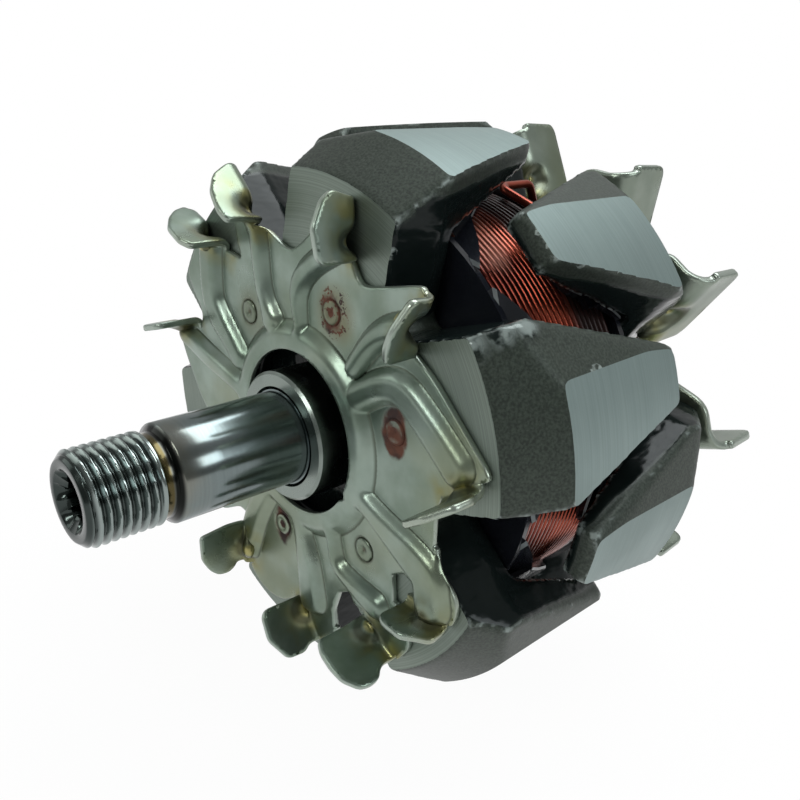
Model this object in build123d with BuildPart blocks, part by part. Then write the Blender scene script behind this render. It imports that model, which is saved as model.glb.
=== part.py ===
from build123d import *
import os
from math import asin, cos, radians, sin, sqrt, tan

# Alternator rotor. The shaft lies along Y with its threaded drive end towards -Y, and +Z is up.
# The origin is on the shaft's axis, where the front bearing meets the spacer behind it.
# The rotor lies on two neighbouring claws, turned about the shaft by this angle from its datum.
roll = 4.7

# Shaft, drive end first
journal_d = 17.0
thread_d = 16.0
thread_length = 12.5
thread_chamfer = 1.45
relief_d = 14.4
relief_width = 2.1
shoulder_chamfer = 0.8
front_journal_length = 23.2
press_seat_d = 17.6
rear_seat_d = 15.0
rear_seat_length = 13.0
rear_shoulder_length = 6.5
ring_stub_d = 10.0
ring_stub_length = 25.0
edge_break = 0.5
socket_core_d = 6.2
socket_lobe_d = 2.0
socket_lobe_circle_d = 6.8
socket_mouth_d = 10.4
socket_mouth_depth = 1.3
socket_depth = 9.0

# Spacer between the front bearing and the pole pieces
spacer_d = 24.0
spacer_mouth_d = 18.7
spacer_mouth_depth = 1.2
spacer_to_face = 6.3
hub_recess_d = 38.0
hub_recess_depth = 2.4

# Claw pole pieces and the core between them
claws_per_pole = 6
claw_centre = 15.7
rotor_d = 106.2
face_setback = 6.3
stack_length = 56.3
pole_thickness = 13.5
shoulder_depth = 9.1
claw_reach = 39.1
arm_half_width = 13.8
shoulder_half_width = 14.6
tip_half_width = 4.9
claw_root_wall = 9.9
claw_tip_wall = 4.5
tip_break = 1.0
valley_r = 30.0
bevel_start_root = 4.95
bevel_start_tip = 3.5
bevel_angle = 23.3
core_d = 55.0
lead_groove_width = 3.4
lead_groove_depth = 3.2

# Bobbin and winding
bobbin_gap = 0.2
bobbin_wall = 1.2
petal_gap = 0.4
petal_wall = 1.0
petal_half_angle = 12.5
petal_length = 8.5
coil_setback = 0.8
wire_pitch = 1.3
wire_depth = 0.45

# Coil leads, their sleeves and the slip-ring conductors
lead_d = 1.6
lead_depth = 1.45
lead_bend_r = 2.2
lead_inner_r = 12.0
lead_valley_setback = 8.8
lead_wrap_angle = 13.0
lead_wrap_setback = 2.6
lead_wrap_lift = 0.45
lead_drop_from_face = 8.5
sleeve_d = 2.6
sleeve_gap = 0.1
sleeve_inner_r = 20.5
sleeve_length = 9.5
conductor_width = 2.4
conductor_depth = 1.6
conductor_gap = 0.1
conductor_floor_r = 5.5
conductor_tip_margin = 0.6
hook_from_face = 1.6

# Slip rings
ring_body_d = 14.8
ring_d = 14.4
ring_bed_d = 12.0
ring_width = 9.0
ring_rib = 2.0
ring_body_gap = 0.5

# Front fan
fan_sheet = 1.2
front_hole_d = 31.1
front_ring_top_d = 38.6
front_ring_foot_d = 42.6
front_ring_height = 3.1
rib_top_half = 2.0
rib_foot_half = 4.0
rib_bend_r = 5.0
front_root_r = 37.0
front_chord_angle = 35.0
paddle_bend_r = 2.4

# Front paddles, each as distance along its fold and height above the pole piece
paddle = [(0, 0), (-0.2, 9.6), (0.8, 10.7), (5.4, 11.0), (10.0, 8.3), (10.3, 4.6), (9.2, 3.1), (9.2, 0)]
sloped_paddle = [(0, 0), (-0.5, 7.4), (1.4, 9.9), (3.5, 10.1), (5.1, 8.2), (9.7, 5.6), (9.2, 0)]
round_paddle = [(0.6, 0), (0.6, 7.8), (1.7, 9.1), (6.4, 9.4), (10.3, 7.2), (11.6, 5.2), (10.6, 2.4), (10.0, 0)]
outer_paddle = [(2.4, 0), (2.4, 8.7), (4.7, 9.3), (9.0, 8.6), (12.4, 6.5), (13.8, 4.0), (12.6, 2.6), (12.2, 0)]
low_paddle = [(0, 0), (-0.3, 7.0), (1.1, 7.9), (5.3, 8.0), (9.6, 4.9), (9.2, 0)]

# Front fan arms: the paddle's root angle, then the rim of its arm as radius and angle, then its rib as x, z,
# and its paddle
front_arms = [
    (34.5, [(43.9, 45.5), (33.5, 59.5)], [(19.0, 13.5), (31.5, 24.5)], sloped_paddle),
    (62.3, [(45.2, 72.5), (33.4, 89.0), (32.5, 94.5)], [(5.0, 21.5), (7.5, 29.5), (14.5, 35.5)], round_paddle),
    (100.8, [(45.5, 112.0), (33.5, 115.0)], [(-0.5, 21.5), (-3.5, 32.0), (-8.6, 37.6)], outer_paddle),
    (122.0, [(45.2, 133.0), (44.5, 147.0), (33.8, 153.5)], [(-17.0, 12.0), (-22.0, 18.5), (-22.6, 31.0)], outer_paddle),
    (158.5, [(44.5, 167.0), (43.0, 187.0), (33.5, 191.5)], [(-20.0, 6.4), (-36.8, 12.2)], paddle),
    (197.0, [(44.5, 206.0), (43.0, 221.0), (33.0, 226.0)], [(-19.5, -7.8), (-36.2, -14.0)], paddle),
    (232.2, [(44.5, 240.5), (42.2, 255.5)], [(-10.5, -18.0), (-15.5, -25.0), (-19.3, -29.5)], paddle),
    (264.6, [(44.5, 273.0), (42.5, 280.0), (31.5, 289.0)], [(1.5, -21.0), (3.6, -32.0), (0.2, -38.0)], paddle),
    (296.0, [(44.5, 304.5), (43.0, 312.5), (33.5, 315.5)], [(13.0, -17.5), (22.0, -24.5), (20.9, -31.0)], paddle),
    (319.0, [(44.8, 329.0), (43.9, 334.3), (36.0, 342.0), (34.4, 352.0)], [(20.5, -5.0), (35.5, -14.0), (34.3, -20.2)], low_paddle),
    (356.0, [(45.8, 366.5), (37.7, 388.0)], [(19.0, 13.5), (29.0, 19.0), (41.2, 6.5)], paddle),
]

# Windows pressed out of the front fan beside its folds, as x, z
front_windows = [
    [(24.3, -19.7), (26.3, -18.6), (27.1, -19.5), (26.8, -24.7), (24.8, -25.7)],
    [(11.2, -29.0), (12.4, -28.6), (15.5, -31.9), (11.0, -35.9), (7.8, -39.7), (7.4, -35.4)],
    [(34.2, -3.6), (33.8, -10.5), (35.7, -11.2), (37.0, -2.6)],
]

# Rear fan
rear_sheet = 1.5
rear_hole_d = 40.0
rear_root_r = 36.0
rear_rim_r = 47.8
rear_waist_r = 33.5
rear_chord_angle = 33.0
rear_arm_angle = 21.0
blade_bend_r = 3.0
blade_outline = [(0, 0), (0.6, 10.8), (17.4, 12.8), (19.4, 11.0), (16.2, 4.5), (14.4, 0)]
rear_roots = [19.0, 47.9, 80.3, 114.0, 145.0, 179.0, 210.0, 244.0, 275.0, 309.0, 343.1]

# Places along the shaft, worked out from the sizes above
front_face_y = spacer_to_face
rear_face_y = front_face_y + stack_length
inner_front_y = front_face_y + pole_thickness
inner_rear_y = rear_face_y - pole_thickness
rear_sheet_y = rear_face_y + rear_sheet
seat_start_y = rear_face_y + rear_shoulder_length
seat_end_y = seat_start_y + rear_seat_length
shaft_end_y = seat_end_y + ring_stub_length
valley_centre = claw_centre + 180 / claws_per_pole
lead_angle = valley_centre + 180 / claws_per_pole
flange_r = rotor_d / 2 - claw_root_wall - petal_gap - petal_wall
coil_r = flange_r - coil_setback
lead_outer_r = flange_r - lead_valley_setback


def across(y):
    """A plane across the shaft at y, facing the drive end, with angles counted from the rolled datum."""
    return Plane(origin=(0, y, 0), x_dir=(cos(radians(roll)), 0, sin(radians(roll))), z_dir=(0, -1, 0))


def turned(solid, angle):
    """The solid turned about the shaft by an angle counted from +X towards +Z."""
    return solid.rotate(Axis.Y, -angle)


def polar(r, angle):
    """A point of a sketch across the shaft."""
    return (r * cos(radians(angle)), r * sin(radians(angle)))


def write(solid, name):
    solid.label = name
    export_step(solid, f"parts/{name}.step")


def sector(inner_r, outer_r, middle, half_angle):
    """A piece of a flat ring, as a sketch across the shaft."""
    with BuildSketch() as piece:
        with BuildLine():
            outer = CenterArc((0, 0), outer_r, middle - half_angle, 2 * half_angle)
            inner = CenterArc((0, 0), inner_r, middle - half_angle, 2 * half_angle)
            Line(outer @ 0, inner @ 0)
            Line(outer @ 1, inner @ 1)
        make_face()
    return piece.sketch


def along(angle, y):
    """A plane through the shaft's axis, with its X outwards at an angle and its Y rearwards from y."""
    a = radians(roll + angle)
    return Plane(origin=(0, y, 0), x_dir=(cos(a), 0, sin(a)), z_dir=(-sin(a), 0, cos(a)))


def turned_profile(points):
    """A solid of revolution about the shaft from radius and y pairs."""
    with BuildPart() as body:
        with BuildSketch(Plane.XY):
            with BuildLine():
                Polyline(*points, close=True)
            make_face()
        revolve(axis=Axis.Y)
    return body.part


def claw(face_y, inward):
    """One claw with its arm, centred on the X axis; inward is the way from the face to the rotor's middle."""
    rotor_r = rotor_d / 2
    profile = [
        (0, 0),
        (rotor_r - face_setback, 0),
        (rotor_r, shoulder_depth),
        (rotor_r, claw_reach - tip_break),
        (rotor_r - tip_break, claw_reach),
        (rotor_r - claw_tip_wall, claw_reach),
        (rotor_r - claw_root_wall, pole_thickness),
        (0, pole_thickness),
    ]
    outline = [
        (0, -arm_half_width),
        (shoulder_depth, -shoulder_half_width),
        (claw_reach, -tip_half_width),
        (claw_reach, tip_half_width),
        (shoulder_depth, shoulder_half_width),
        (0, arm_half_width),
    ]
    bevel_run = shoulder_half_width * 1.5
    bevel_drop = bevel_run * tan(radians(bevel_angle))
    with BuildPart() as body:
        with BuildSketch(Plane.XY):
            with BuildLine():
                Polyline(*[(r, face_y + inward * t) for r, t in profile], close=True)
            make_face()
        revolve(axis=Axis.Y)
        with BuildSketch(Plane.YZ):
            with BuildLine():
                Polyline(*[(face_y + inward * t, z) for t, z in outline], close=True)
            make_face()
        extrude(amount=rotor_d, mode=Mode.INTERSECT)
        for t, start in ((0, bevel_start_root), (claw_reach, bevel_start_tip)):
            edge_r = rotor_r * cos(asin(start / rotor_r))
            corner = (edge_r, start)
            with BuildSketch(Plane(origin=(0, face_y + inward * t, 0), x_dir=(1, 0, 0), z_dir=(0, -1, 0))):
                with BuildLine():
                    Polyline(
                        corner,
                        (edge_r - bevel_drop, start + bevel_run),
                        (rotor_d, start + bevel_run),
                        (rotor_d, start),
                        close=True,
                    )
                make_face()
        loft(ruled=True, mode=Mode.SUBTRACT)
    return body.part


def pole_piece(face_y, inward, first_claw):
    """A six-claw pole piece pressed on the shaft."""
    one_claw = claw(face_y, inward)
    hub = [
        (press_seat_d / 2, hub_recess_depth),
        (hub_recess_d / 2, hub_recess_depth),
        (hub_recess_d / 2, 0),
        (valley_r, 0),
        (valley_r, pole_thickness),
        (press_seat_d / 2, pole_thickness),
    ]
    bore = [
        (0, -1),
        (hub_recess_d / 2, -1),
        (hub_recess_d / 2, hub_recess_depth),
        (press_seat_d / 2, hub_recess_depth),
        (press_seat_d / 2, pole_thickness + 1),
        (0, pole_thickness + 1),
    ]
    with BuildPart() as pole:
        for number in range(claws_per_pole):
            add(turned(one_claw, roll + first_claw + number * 360 / claws_per_pole))
        add(turned_profile([(r, face_y + inward * t) for r, t in hub]))
        add(turned_profile([(r, face_y + inward * t) for r, t in bore]), mode=Mode.SUBTRACT)
    return pole.part


os.makedirs("parts", exist_ok=True)

# Shaft: turned steel, with a thread for the pulley nut, bearing seats, grooves for the conductors
# and a six-lobed socket that holds the shaft while the nut is tightened
journal_r = journal_d / 2
press_r = press_seat_d / 2
thread_r = thread_d / 2
relief_r = relief_d / 2
seat_r = rear_seat_d / 2
stub_r = ring_stub_d / 2
drive_end_y = -(front_journal_length + shoulder_chamfer + relief_width + thread_length)
relief_y = drive_end_y + thread_length
shoulder_y = relief_y + relief_width
shaft_profile = [
    (0, drive_end_y),
    (thread_r - thread_chamfer, drive_end_y),
    (thread_r, drive_end_y + thread_chamfer),
    (thread_r, relief_y),
    (relief_r, relief_y + edge_break),
    (relief_r, shoulder_y),
    (journal_r, shoulder_y + shoulder_chamfer),
    (journal_r, 0),
    (press_r, 0),
    (press_r, seat_start_y - edge_break),
    (press_r - edge_break, seat_start_y),
    (seat_r, seat_start_y),
    (seat_r, seat_end_y - edge_break),
    (seat_r - edge_break, seat_end_y),
    (stub_r, seat_end_y),
    (stub_r, shaft_end_y - edge_break),
    (stub_r - edge_break, shaft_end_y),
    (0, shaft_end_y),
]
groove_start_y = rear_face_y + hook_from_face
groove_width = conductor_width + 2 * conductor_gap
with BuildPart() as shaft:
    add(turned_profile(shaft_profile))
    with BuildSketch(across(drive_end_y + socket_depth)):
        Circle(socket_core_d / 2)
        with PolarLocations(socket_lobe_circle_d / 2, 6):
            Circle(socket_lobe_d / 2)
    extrude(amount=socket_depth + 1, mode=Mode.SUBTRACT)
    add(turned_profile([
        (0, drive_end_y),
        (socket_mouth_d / 2, drive_end_y),
        ((socket_lobe_circle_d + socket_lobe_d) / 2, drive_end_y + socket_mouth_depth),
        (0, drive_end_y + socket_mouth_depth),
    ]), mode=Mode.SUBTRACT)
    with BuildSketch(across(groove_start_y)):
        with PolarLocations(conductor_floor_r - conductor_gap, 2, start_angle=lead_angle):
            Rectangle(journal_d, groove_width, align=(Align.MIN, Align.CENTER))
    extrude(amount=-(seat_end_y - groove_start_y), mode=Mode.SUBTRACT)
write(shaft.part, "shaft")

# Spacer ring between the front bearing and the front pole piece
spacer_end_y = front_face_y + hub_recess_depth
front_spacer = turned_profile([
    (spacer_mouth_d / 2, 0),
    (spacer_d / 2 - edge_break, 0),
    (spacer_d / 2, edge_break),
    (spacer_d / 2, spacer_end_y),
    (press_r, spacer_end_y),
    (press_r, spacer_mouth_depth),
])
write(front_spacer, "front_spacer")

# Pole pieces: forged steel, ground on the outside of the claws
front_pole = pole_piece(front_face_y, 1, claw_centre)
write(front_pole, "front_pole_piece")

# The rear one also has two grooves across its face, for the leads from the coil to the slip rings
with BuildPart() as rear_pole:
    add(pole_piece(rear_face_y, -1, valley_centre))
    with BuildSketch(across(rear_face_y)):
        with PolarLocations(0, 2, start_angle=lead_angle):
            Rectangle(lead_outer_r + lead_d, lead_groove_width, align=(Align.MIN, Align.CENTER))
        Circle(hub_recess_d / 2 - 1, mode=Mode.SUBTRACT)
    extrude(amount=lead_groove_depth, mode=Mode.SUBTRACT)
write(rear_pole.part, "rear_pole_piece")

# Core: the round steel block inside the coil
core_r = core_d / 2
pole_core = turned_profile([
    (press_r, inner_front_y),
    (core_r, inner_front_y),
    (core_r, inner_rear_y),
    (press_r, inner_rear_y),
])
write(pole_core, "pole_core")

# Bobbin: one moulding, with petals that keep the winding off the claws
tube_r = core_r + bobbin_gap + bobbin_wall
flange_front_y = inner_front_y + bobbin_gap
flange_rear_y = inner_rear_y - bobbin_gap
coil_front_y = flange_front_y + bobbin_wall
coil_rear_y = flange_rear_y - bobbin_wall
bobbin_profile = [
    (core_r + bobbin_gap, flange_front_y),
    (flange_r, flange_front_y),
    (flange_r, coil_front_y),
    (tube_r, coil_front_y),
    (tube_r, coil_rear_y),
    (flange_r, coil_rear_y),
    (flange_r, flange_rear_y),
    (core_r + bobbin_gap, flange_rear_y),
]
with BuildPart() as bobbin:
    add(turned_profile(bobbin_profile))
    for start_y, rearward, first_claw in ((flange_front_y, 1, claw_centre), (flange_rear_y, -1, valley_centre)):
        for inner_r, length in ((flange_r - petal_wall, bobbin_wall), (flange_r, petal_length)):
            with BuildSketch(across(start_y)):
                for number in range(claws_per_pole):
                    petal_angle = first_claw + number * 360 / claws_per_pole
                    add(sector(inner_r, flange_r + petal_wall, petal_angle, petal_half_angle))
            extrude(amount=-rearward * length)
write(bobbin.part, "coil_bobbin")

# Winding: enamelled copper wire, its turns shown as ridges
turns = int((coil_rear_y - coil_front_y) / wire_pitch)
turn_pitch = (coil_rear_y - coil_front_y) / turns
winding_profile = [(tube_r, coil_front_y)]
for turn in range(turns):
    winding_profile.append((coil_r - wire_depth, coil_front_y + turn * turn_pitch))
    winding_profile.append((coil_r, coil_front_y + (turn + 0.5) * turn_pitch))
winding_profile.append((coil_r - wire_depth, coil_rear_y))
winding_profile.append((tube_r, coil_rear_y))
write(turned_profile(winding_profile), "field_coil")

# Coil leads: the end lead comes off the outside of the winding and the start lead from its inner layer.
# Both run under the rear fan, in grooves of the rear pole piece, to the conductors beside the shaft
lead_r = lead_d / 2
lead_y = rear_face_y - lead_depth
hook_y = groove_start_y + conductor_gap
wrap_r = flange_r + lead_r + lead_wrap_lift
wrap_y = coil_rear_y - lead_wrap_setback


def place(r, angle, y):
    """A point in space, from its radius, its angle and its distance along the shaft."""
    return (r * cos(radians(roll + angle)), y, r * sin(radians(roll + angle)))


def lead(points):
    """A round wire along straight runs joined by bends."""
    with BuildPart() as wire:
        with BuildLine() as run:
            FilletPolyline(*points, radius=lead_bend_r)
        route = run.wires()[0]
        with BuildSketch(Plane(origin=route @ 0, z_dir=route % 0)):
            Circle(lead_r)
        sweep(path=route)
    return wire.part


def run_in(angle):
    """The stretch of a lead from the valley between two claws to its conductor."""
    return [
        place(lead_outer_r, angle, lead_y),
        place(lead_inner_r, angle, lead_y),
        place(lead_inner_r, angle, hook_y),
    ]


end_lead = lead([
    place(wrap_r, lead_angle - lead_wrap_angle, wrap_y),
    place(wrap_r, lead_angle, wrap_y),
    place(wrap_r, lead_angle, rear_face_y - lead_drop_from_face),
] + run_in(lead_angle))
write(end_lead, "coil_end_lead")

start_lead = lead([place(lead_outer_r, lead_angle + 180, flange_rear_y)] + run_in(lead_angle + 180))
write(start_lead, "coil_start_lead")

# Sleeves: insulating tubes on the leads where they cross the pole piece
for name, angle in (("end_lead_sleeve", lead_angle), ("start_lead_sleeve", lead_angle + 180)):
    with BuildPart() as sleeve:
        radial = Plane(origin=place(sleeve_inner_r, angle, lead_y), z_dir=place(1, angle, 0))
        with BuildSketch(radial):
            Circle(sleeve_d / 2)
            Circle(lead_r + sleeve_gap, mode=Mode.SUBTRACT)
        extrude(amount=sleeve_length)
    write(sleeve.part, name)

# Slip-ring conductors: copper strips in the shaft's grooves, with a hook at the front for the coil's lead
body_start_y = seat_end_y + ring_body_gap
conductor_top_r = conductor_floor_r + conductor_depth
conductor_tip_r = lead_inner_r + lead_r + conductor_tip_margin
for name, angle in (("outer_ring_conductor", lead_angle), ("inner_ring_conductor", lead_angle + 180)):
    with BuildPart() as conductor:
        with BuildSketch(along(angle, 0)):
            with BuildLine():
                Polyline(
                    (conductor_floor_r, hook_y),
                    (conductor_tip_r, hook_y),
                    (conductor_tip_r, hook_y + conductor_depth),
                    (conductor_top_r, hook_y + conductor_depth),
                    (conductor_top_r, body_start_y),
                    (conductor_floor_r, body_start_y),
                    close=True,
                )
            make_face()
        extrude(amount=conductor_width / 2, both=True)
    write(conductor.part, name)

# Slip rings: two copper rings in the beds of a moulded body on the shaft's end
inner_bed_y = body_start_y + ring_rib
outer_bed_y = inner_bed_y + ring_width + ring_rib
body_end_y = outer_bed_y + ring_width + ring_rib
body_r = ring_body_d / 2
bed_r = ring_bed_d / 2
write(turned_profile([
    (stub_r, body_start_y),
    (body_r, body_start_y),
    (body_r, inner_bed_y),
    (bed_r, inner_bed_y),
    (bed_r, inner_bed_y + ring_width),
    (body_r, inner_bed_y + ring_width),
    (body_r, outer_bed_y),
    (bed_r, outer_bed_y),
    (bed_r, outer_bed_y + ring_width),
    (body_r, outer_bed_y + ring_width),
    (body_r, body_end_y),
    (stub_r, body_end_y),
]), "slip_ring_body")
for name, bed_y in (("slip_ring_inner", inner_bed_y), ("slip_ring_outer", outer_bed_y)):
    write(turned_profile([
        (bed_r, bed_y),
        (ring_d / 2, bed_y),
        (ring_d / 2, bed_y + ring_width),
        (bed_r, bed_y + ring_width),
    ]), name)


def folded_blade(face_y, forward, sheet, bend_r, root_r, chord_angle, outline):
    """A blade folded up from a fan's sheet, its root at angle 0; forward is -1 or 1, the way it stands."""
    a = radians(chord_angle)
    root = Vector(root_r, face_y, 0)
    chord = Vector(cos(a), 0, sin(a))
    to_arm = Vector(-sin(a), 0, cos(a))
    stand = max(height for reach, height in outline) + 1
    length = max(reach for reach, height in outline) + 1
    foot = bend_r + sheet
    with BuildPart() as blade:
        with BuildSketch(Plane(origin=root - chord, x_dir=to_arm, z_dir=chord * -forward)):
            with BuildLine():
                Polyline((0, bend_r), (0, stand), (sheet, stand), (sheet, bend_r))
                CenterArc((bend_r, bend_r), bend_r - sheet, 180, 90)
                Polyline((bend_r, sheet), (foot, sheet), (foot, 0), (bend_r, 0))
                CenterArc((bend_r, bend_r), bend_r, 180, 90)
            make_face()
        extrude(amount=-forward * (length + 1))
        with BuildSketch(Plane(origin=root, x_dir=chord, z_dir=to_arm * forward)):
            with BuildLine():
                Polyline(*outline, close=True)
            make_face()
        extrude(amount=stand, both=True, mode=Mode.INTERSECT)
    return blade.part


def fold_ends(root_r, root_angle, chord_angle, outline, bend_r):
    """Where a blade's bend meets the flat sheet: its inner and its outer end."""
    a = radians(root_angle + chord_angle)
    x, z = polar(root_r, root_angle)
    x -= bend_r * sin(a)
    z += bend_r * cos(a)
    return [(x + reach * cos(a), z + reach * sin(a)) for reach in (outline[0][0], outline[-1][0])]


# Front fan: pressed from sheet steel, with a raised ring, a rib to each paddle, and welded to the pole piece
ring_inner_r = front_hole_d / 2
ring_top_r = front_ring_top_d / 2
ring_foot_r = front_ring_foot_d / 2
ring_profile = [
    (ring_inner_r, front_ring_height),
    (ring_top_r, front_ring_height),
    (ring_foot_r, fan_sheet),
    (ring_foot_r + fan_sheet, fan_sheet),
    (ring_foot_r + fan_sheet, 0),
    (ring_foot_r - fan_sheet / 2, 0),
    (ring_top_r - fan_sheet / 2, front_ring_height - fan_sheet),
    (ring_inner_r, front_ring_height - fan_sheet),
]
front_rim = []
for root_angle, rim, rib, outline in front_arms:
    front_rim += fold_ends(front_root_r, root_angle, front_chord_angle, outline, paddle_bend_r)
    front_rim += [polar(r, angle) for r, angle in rim]
rib_slope = (rib_foot_half - rib_top_half) / (front_ring_height - fan_sheet)
rib_wall = fan_sheet * sqrt(1 + rib_slope ** 2)
hollow_top_half = rib_top_half + fan_sheet * rib_slope - rib_wall
hollow_foot_half = rib_foot_half + fan_sheet * rib_slope - rib_wall


def pressed_rib(points, foot_half, top_half, height):
    """A flat-topped rib with sloping sides along a line across the shaft."""
    with BuildPart() as pressing:
        with BuildLine(across(front_face_y)) as line:
            if len(points) > 2:
                FilletPolyline(*points, radius=rib_bend_r)
            else:
                Line(*points)
        route = line.wires()[0]
        with BuildSketch(Plane(origin=route @ 0, x_dir=(0, -1, 0), z_dir=route % 0)):
            with BuildLine():
                Polyline((0, -foot_half), (height, -top_half), (height, top_half), (0, foot_half), close=True)
            make_face()
        sweep(path=route)
    return pressing.part


with BuildPart() as front_fan:
    with BuildSketch(across(front_face_y)):
        with BuildLine():
            Polyline(*front_rim, close=True)
        make_face()
        Circle(ring_foot_r, mode=Mode.SUBTRACT)
    extrude(amount=fan_sheet)
    add(turned_profile([(r, front_face_y - f) for r, f in ring_profile]))
    rib_base_half = rib_foot_half + fan_sheet * rib_slope
    for root_angle, rim, rib, outline in front_arms:
        add(pressed_rib(rib, rib_base_half, rib_top_half, front_ring_height))
    for root_angle, rim, rib, outline in front_arms:
        hollow_height = front_ring_height - fan_sheet
        add(pressed_rib(rib, hollow_foot_half, hollow_top_half, hollow_height), mode=Mode.SUBTRACT)
    with BuildSketch(across(front_face_y)):
        with BuildLine():
            Polyline(*front_rim, close=True)
        make_face()
        Circle(ring_inner_r, mode=Mode.SUBTRACT)
    extrude(amount=front_ring_height, mode=Mode.INTERSECT)
    with BuildSketch(across(front_face_y)):
        for window in front_windows:
            with BuildLine():
                Polyline(*window, close=True)
            make_face()
    extrude(amount=front_ring_height, mode=Mode.SUBTRACT)
    for root_angle, rim, rib, outline in front_arms:
        blade = folded_blade(
            front_face_y, -1, fan_sheet, paddle_bend_r, front_root_r, front_chord_angle, outline
        )
        add(turned(blade, roll + root_angle))
    split(bisect_by=across(front_face_y), keep=Keep.TOP)
write(front_fan.part, "front_fan")

# Rear fan: pressed from thicker sheet, with tall blades that reach out to the claws' diameter
rear_rim = []
for number, root_angle in enumerate(rear_roots):
    next_root = rear_roots[(number + 1) % len(rear_roots)]
    span = (next_root - root_angle) % 360
    rear_rim += fold_ends(rear_root_r, root_angle, rear_chord_angle, blade_outline, blade_bend_r)
    rear_rim.append(polar(rear_rim_r, root_angle + rear_arm_angle))
    rear_rim.append(polar(rear_waist_r, root_angle + span - 3))
blade = folded_blade(
    rear_face_y, 1, rear_sheet, blade_bend_r, rear_root_r, rear_chord_angle, blade_outline
)
with BuildPart() as rear_fan:
    with BuildSketch(across(rear_sheet_y)):
        with BuildLine():
            Polyline(*rear_rim, close=True)
        make_face()
        Circle(rear_hole_d / 2, mode=Mode.SUBTRACT)
    extrude(amount=rear_sheet)
    for root_angle in rear_roots:
        add(turned(blade, roll + root_angle))
write(rear_fan.part, "rear_fan")
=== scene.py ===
from math import atan2, ceil, cos, degrees, hypot, pi, radians, sin

import bmesh
import bpy
import numpy as np
from mathutils import Matrix, Vector
from mathutils.geometry import delaunay_2d_cdt


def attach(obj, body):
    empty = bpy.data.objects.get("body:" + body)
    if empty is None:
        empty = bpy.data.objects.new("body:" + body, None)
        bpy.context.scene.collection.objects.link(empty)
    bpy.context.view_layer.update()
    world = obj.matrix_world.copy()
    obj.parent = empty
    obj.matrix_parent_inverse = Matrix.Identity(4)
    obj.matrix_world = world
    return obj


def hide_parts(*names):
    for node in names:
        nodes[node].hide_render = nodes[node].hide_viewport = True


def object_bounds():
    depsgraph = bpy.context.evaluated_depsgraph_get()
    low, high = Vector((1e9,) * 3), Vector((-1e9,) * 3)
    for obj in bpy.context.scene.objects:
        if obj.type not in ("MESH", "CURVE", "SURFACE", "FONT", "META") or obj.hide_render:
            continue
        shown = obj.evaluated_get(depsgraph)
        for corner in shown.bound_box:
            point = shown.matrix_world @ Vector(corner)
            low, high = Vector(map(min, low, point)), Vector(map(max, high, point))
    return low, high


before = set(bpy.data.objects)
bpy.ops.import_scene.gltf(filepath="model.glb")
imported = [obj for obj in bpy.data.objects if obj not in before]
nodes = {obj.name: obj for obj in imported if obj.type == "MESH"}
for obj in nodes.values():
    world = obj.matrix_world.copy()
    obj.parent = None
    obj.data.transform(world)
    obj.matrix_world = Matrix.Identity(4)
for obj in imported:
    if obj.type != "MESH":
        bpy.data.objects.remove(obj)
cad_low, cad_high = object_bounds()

# The bench: a pale floor that the rotor lies on, before a white backdrop. A soft lamp hangs overhead, with
# weaker ones to the right, in front and to the left, and the camera is where the photograph was taken.
scene = bpy.context.scene
scene.view_settings.view_transform = "Standard"
mm = 0.001
rotor_roll = radians(4.7)
spacer_face = 3.24 * mm
floor_z = float(cad_low.z) - 0.0001
floor_corners = [(-4, -4, floor_z), (4, -4, floor_z), (4, 4, floor_z), (-4, 4, floor_z)]
sensor_width, focal_pixels, picture_pixels = 36.0, 837.386, 800.0


def rolled(x, y, z):
    """A direction or place that was measured with the rotor unrolled."""
    return Vector((x * cos(rotor_roll) - z * sin(rotor_roll), y, x * sin(rotor_roll) + z * cos(rotor_roll)))


def add_object(name, data):
    holder = bpy.data.objects.new(name, data)
    scene.collection.objects.link(holder)
    return holder


def set_up(thing, **settings):
    for label, value in settings.items():
        setattr(thing, label, value)
    return thing


def set_inputs(node, inputs):
    """Give a node's inputs their values: numbers, vectors, colours or other nodes' sockets."""
    for label, value in inputs.items():
        socket = node.inputs[label]
        if isinstance(value, bpy.types.NodeSocket):
            node.id_data.links.new(value, socket)
        else:
            socket.default_value = (*value, 1) if socket.type == "RGBA" else value


def add_node(tree, kind, inputs=None, **settings):
    node = set_up(tree.nodes.new(kind), **settings)
    set_inputs(node, inputs or {})
    return node


def shader_tree(name):
    """A new material with its node tree and its main shader."""
    material = bpy.data.materials.new(name)
    material.use_nodes = True
    return material, material.node_tree, material.node_tree.nodes["Principled BSDF"]


def own_place(tree):
    """A point in the piece's own coordinates."""
    return add_node(tree, "ShaderNodeTexCoord").outputs["Object"]


def maths(operation, first, second=None, kind="ShaderNodeMath", output=0):
    """One sum; the first value is a socket, the second a socket or a plain value."""
    values = {0: first} if second is None else {0: first, 1: second}
    return add_node(first.id_data, kind, values, operation=operation).outputs[output]


def times(first, second):
    return maths("MULTIPLY", first, second)


def vector_maths(operation, first, second=None):
    """One sum on vectors; its result is a number where the operation gives one."""
    output = "Value" if operation in ("DOT_PRODUCT", "LENGTH", "DISTANCE") else "Vector"
    return maths(operation, first, second, "ShaderNodeVectorMath", output)


def ramp(value, low, high, from_value=0.0, to_value=1.0):
    """A smooth step of a value from low to high."""
    ends = {"Value": value, "From Min": low, "From Max": high, "To Min": from_value, "To Max": to_value}
    step = add_node(value.id_data, "ShaderNodeMapRange", ends, interpolation_type="SMOOTHSTEP")
    return step.outputs["Result"]


def mixed_shaders(tree, output, share, first, second):
    """Show the first shader, and the second by its share."""
    mix = add_node(tree, "ShaderNodeMixShader", {"Fac": share, 1: first, 2: second})
    set_inputs(tree.nodes[output], {"Surface": mix.outputs["Shader"]})


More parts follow.
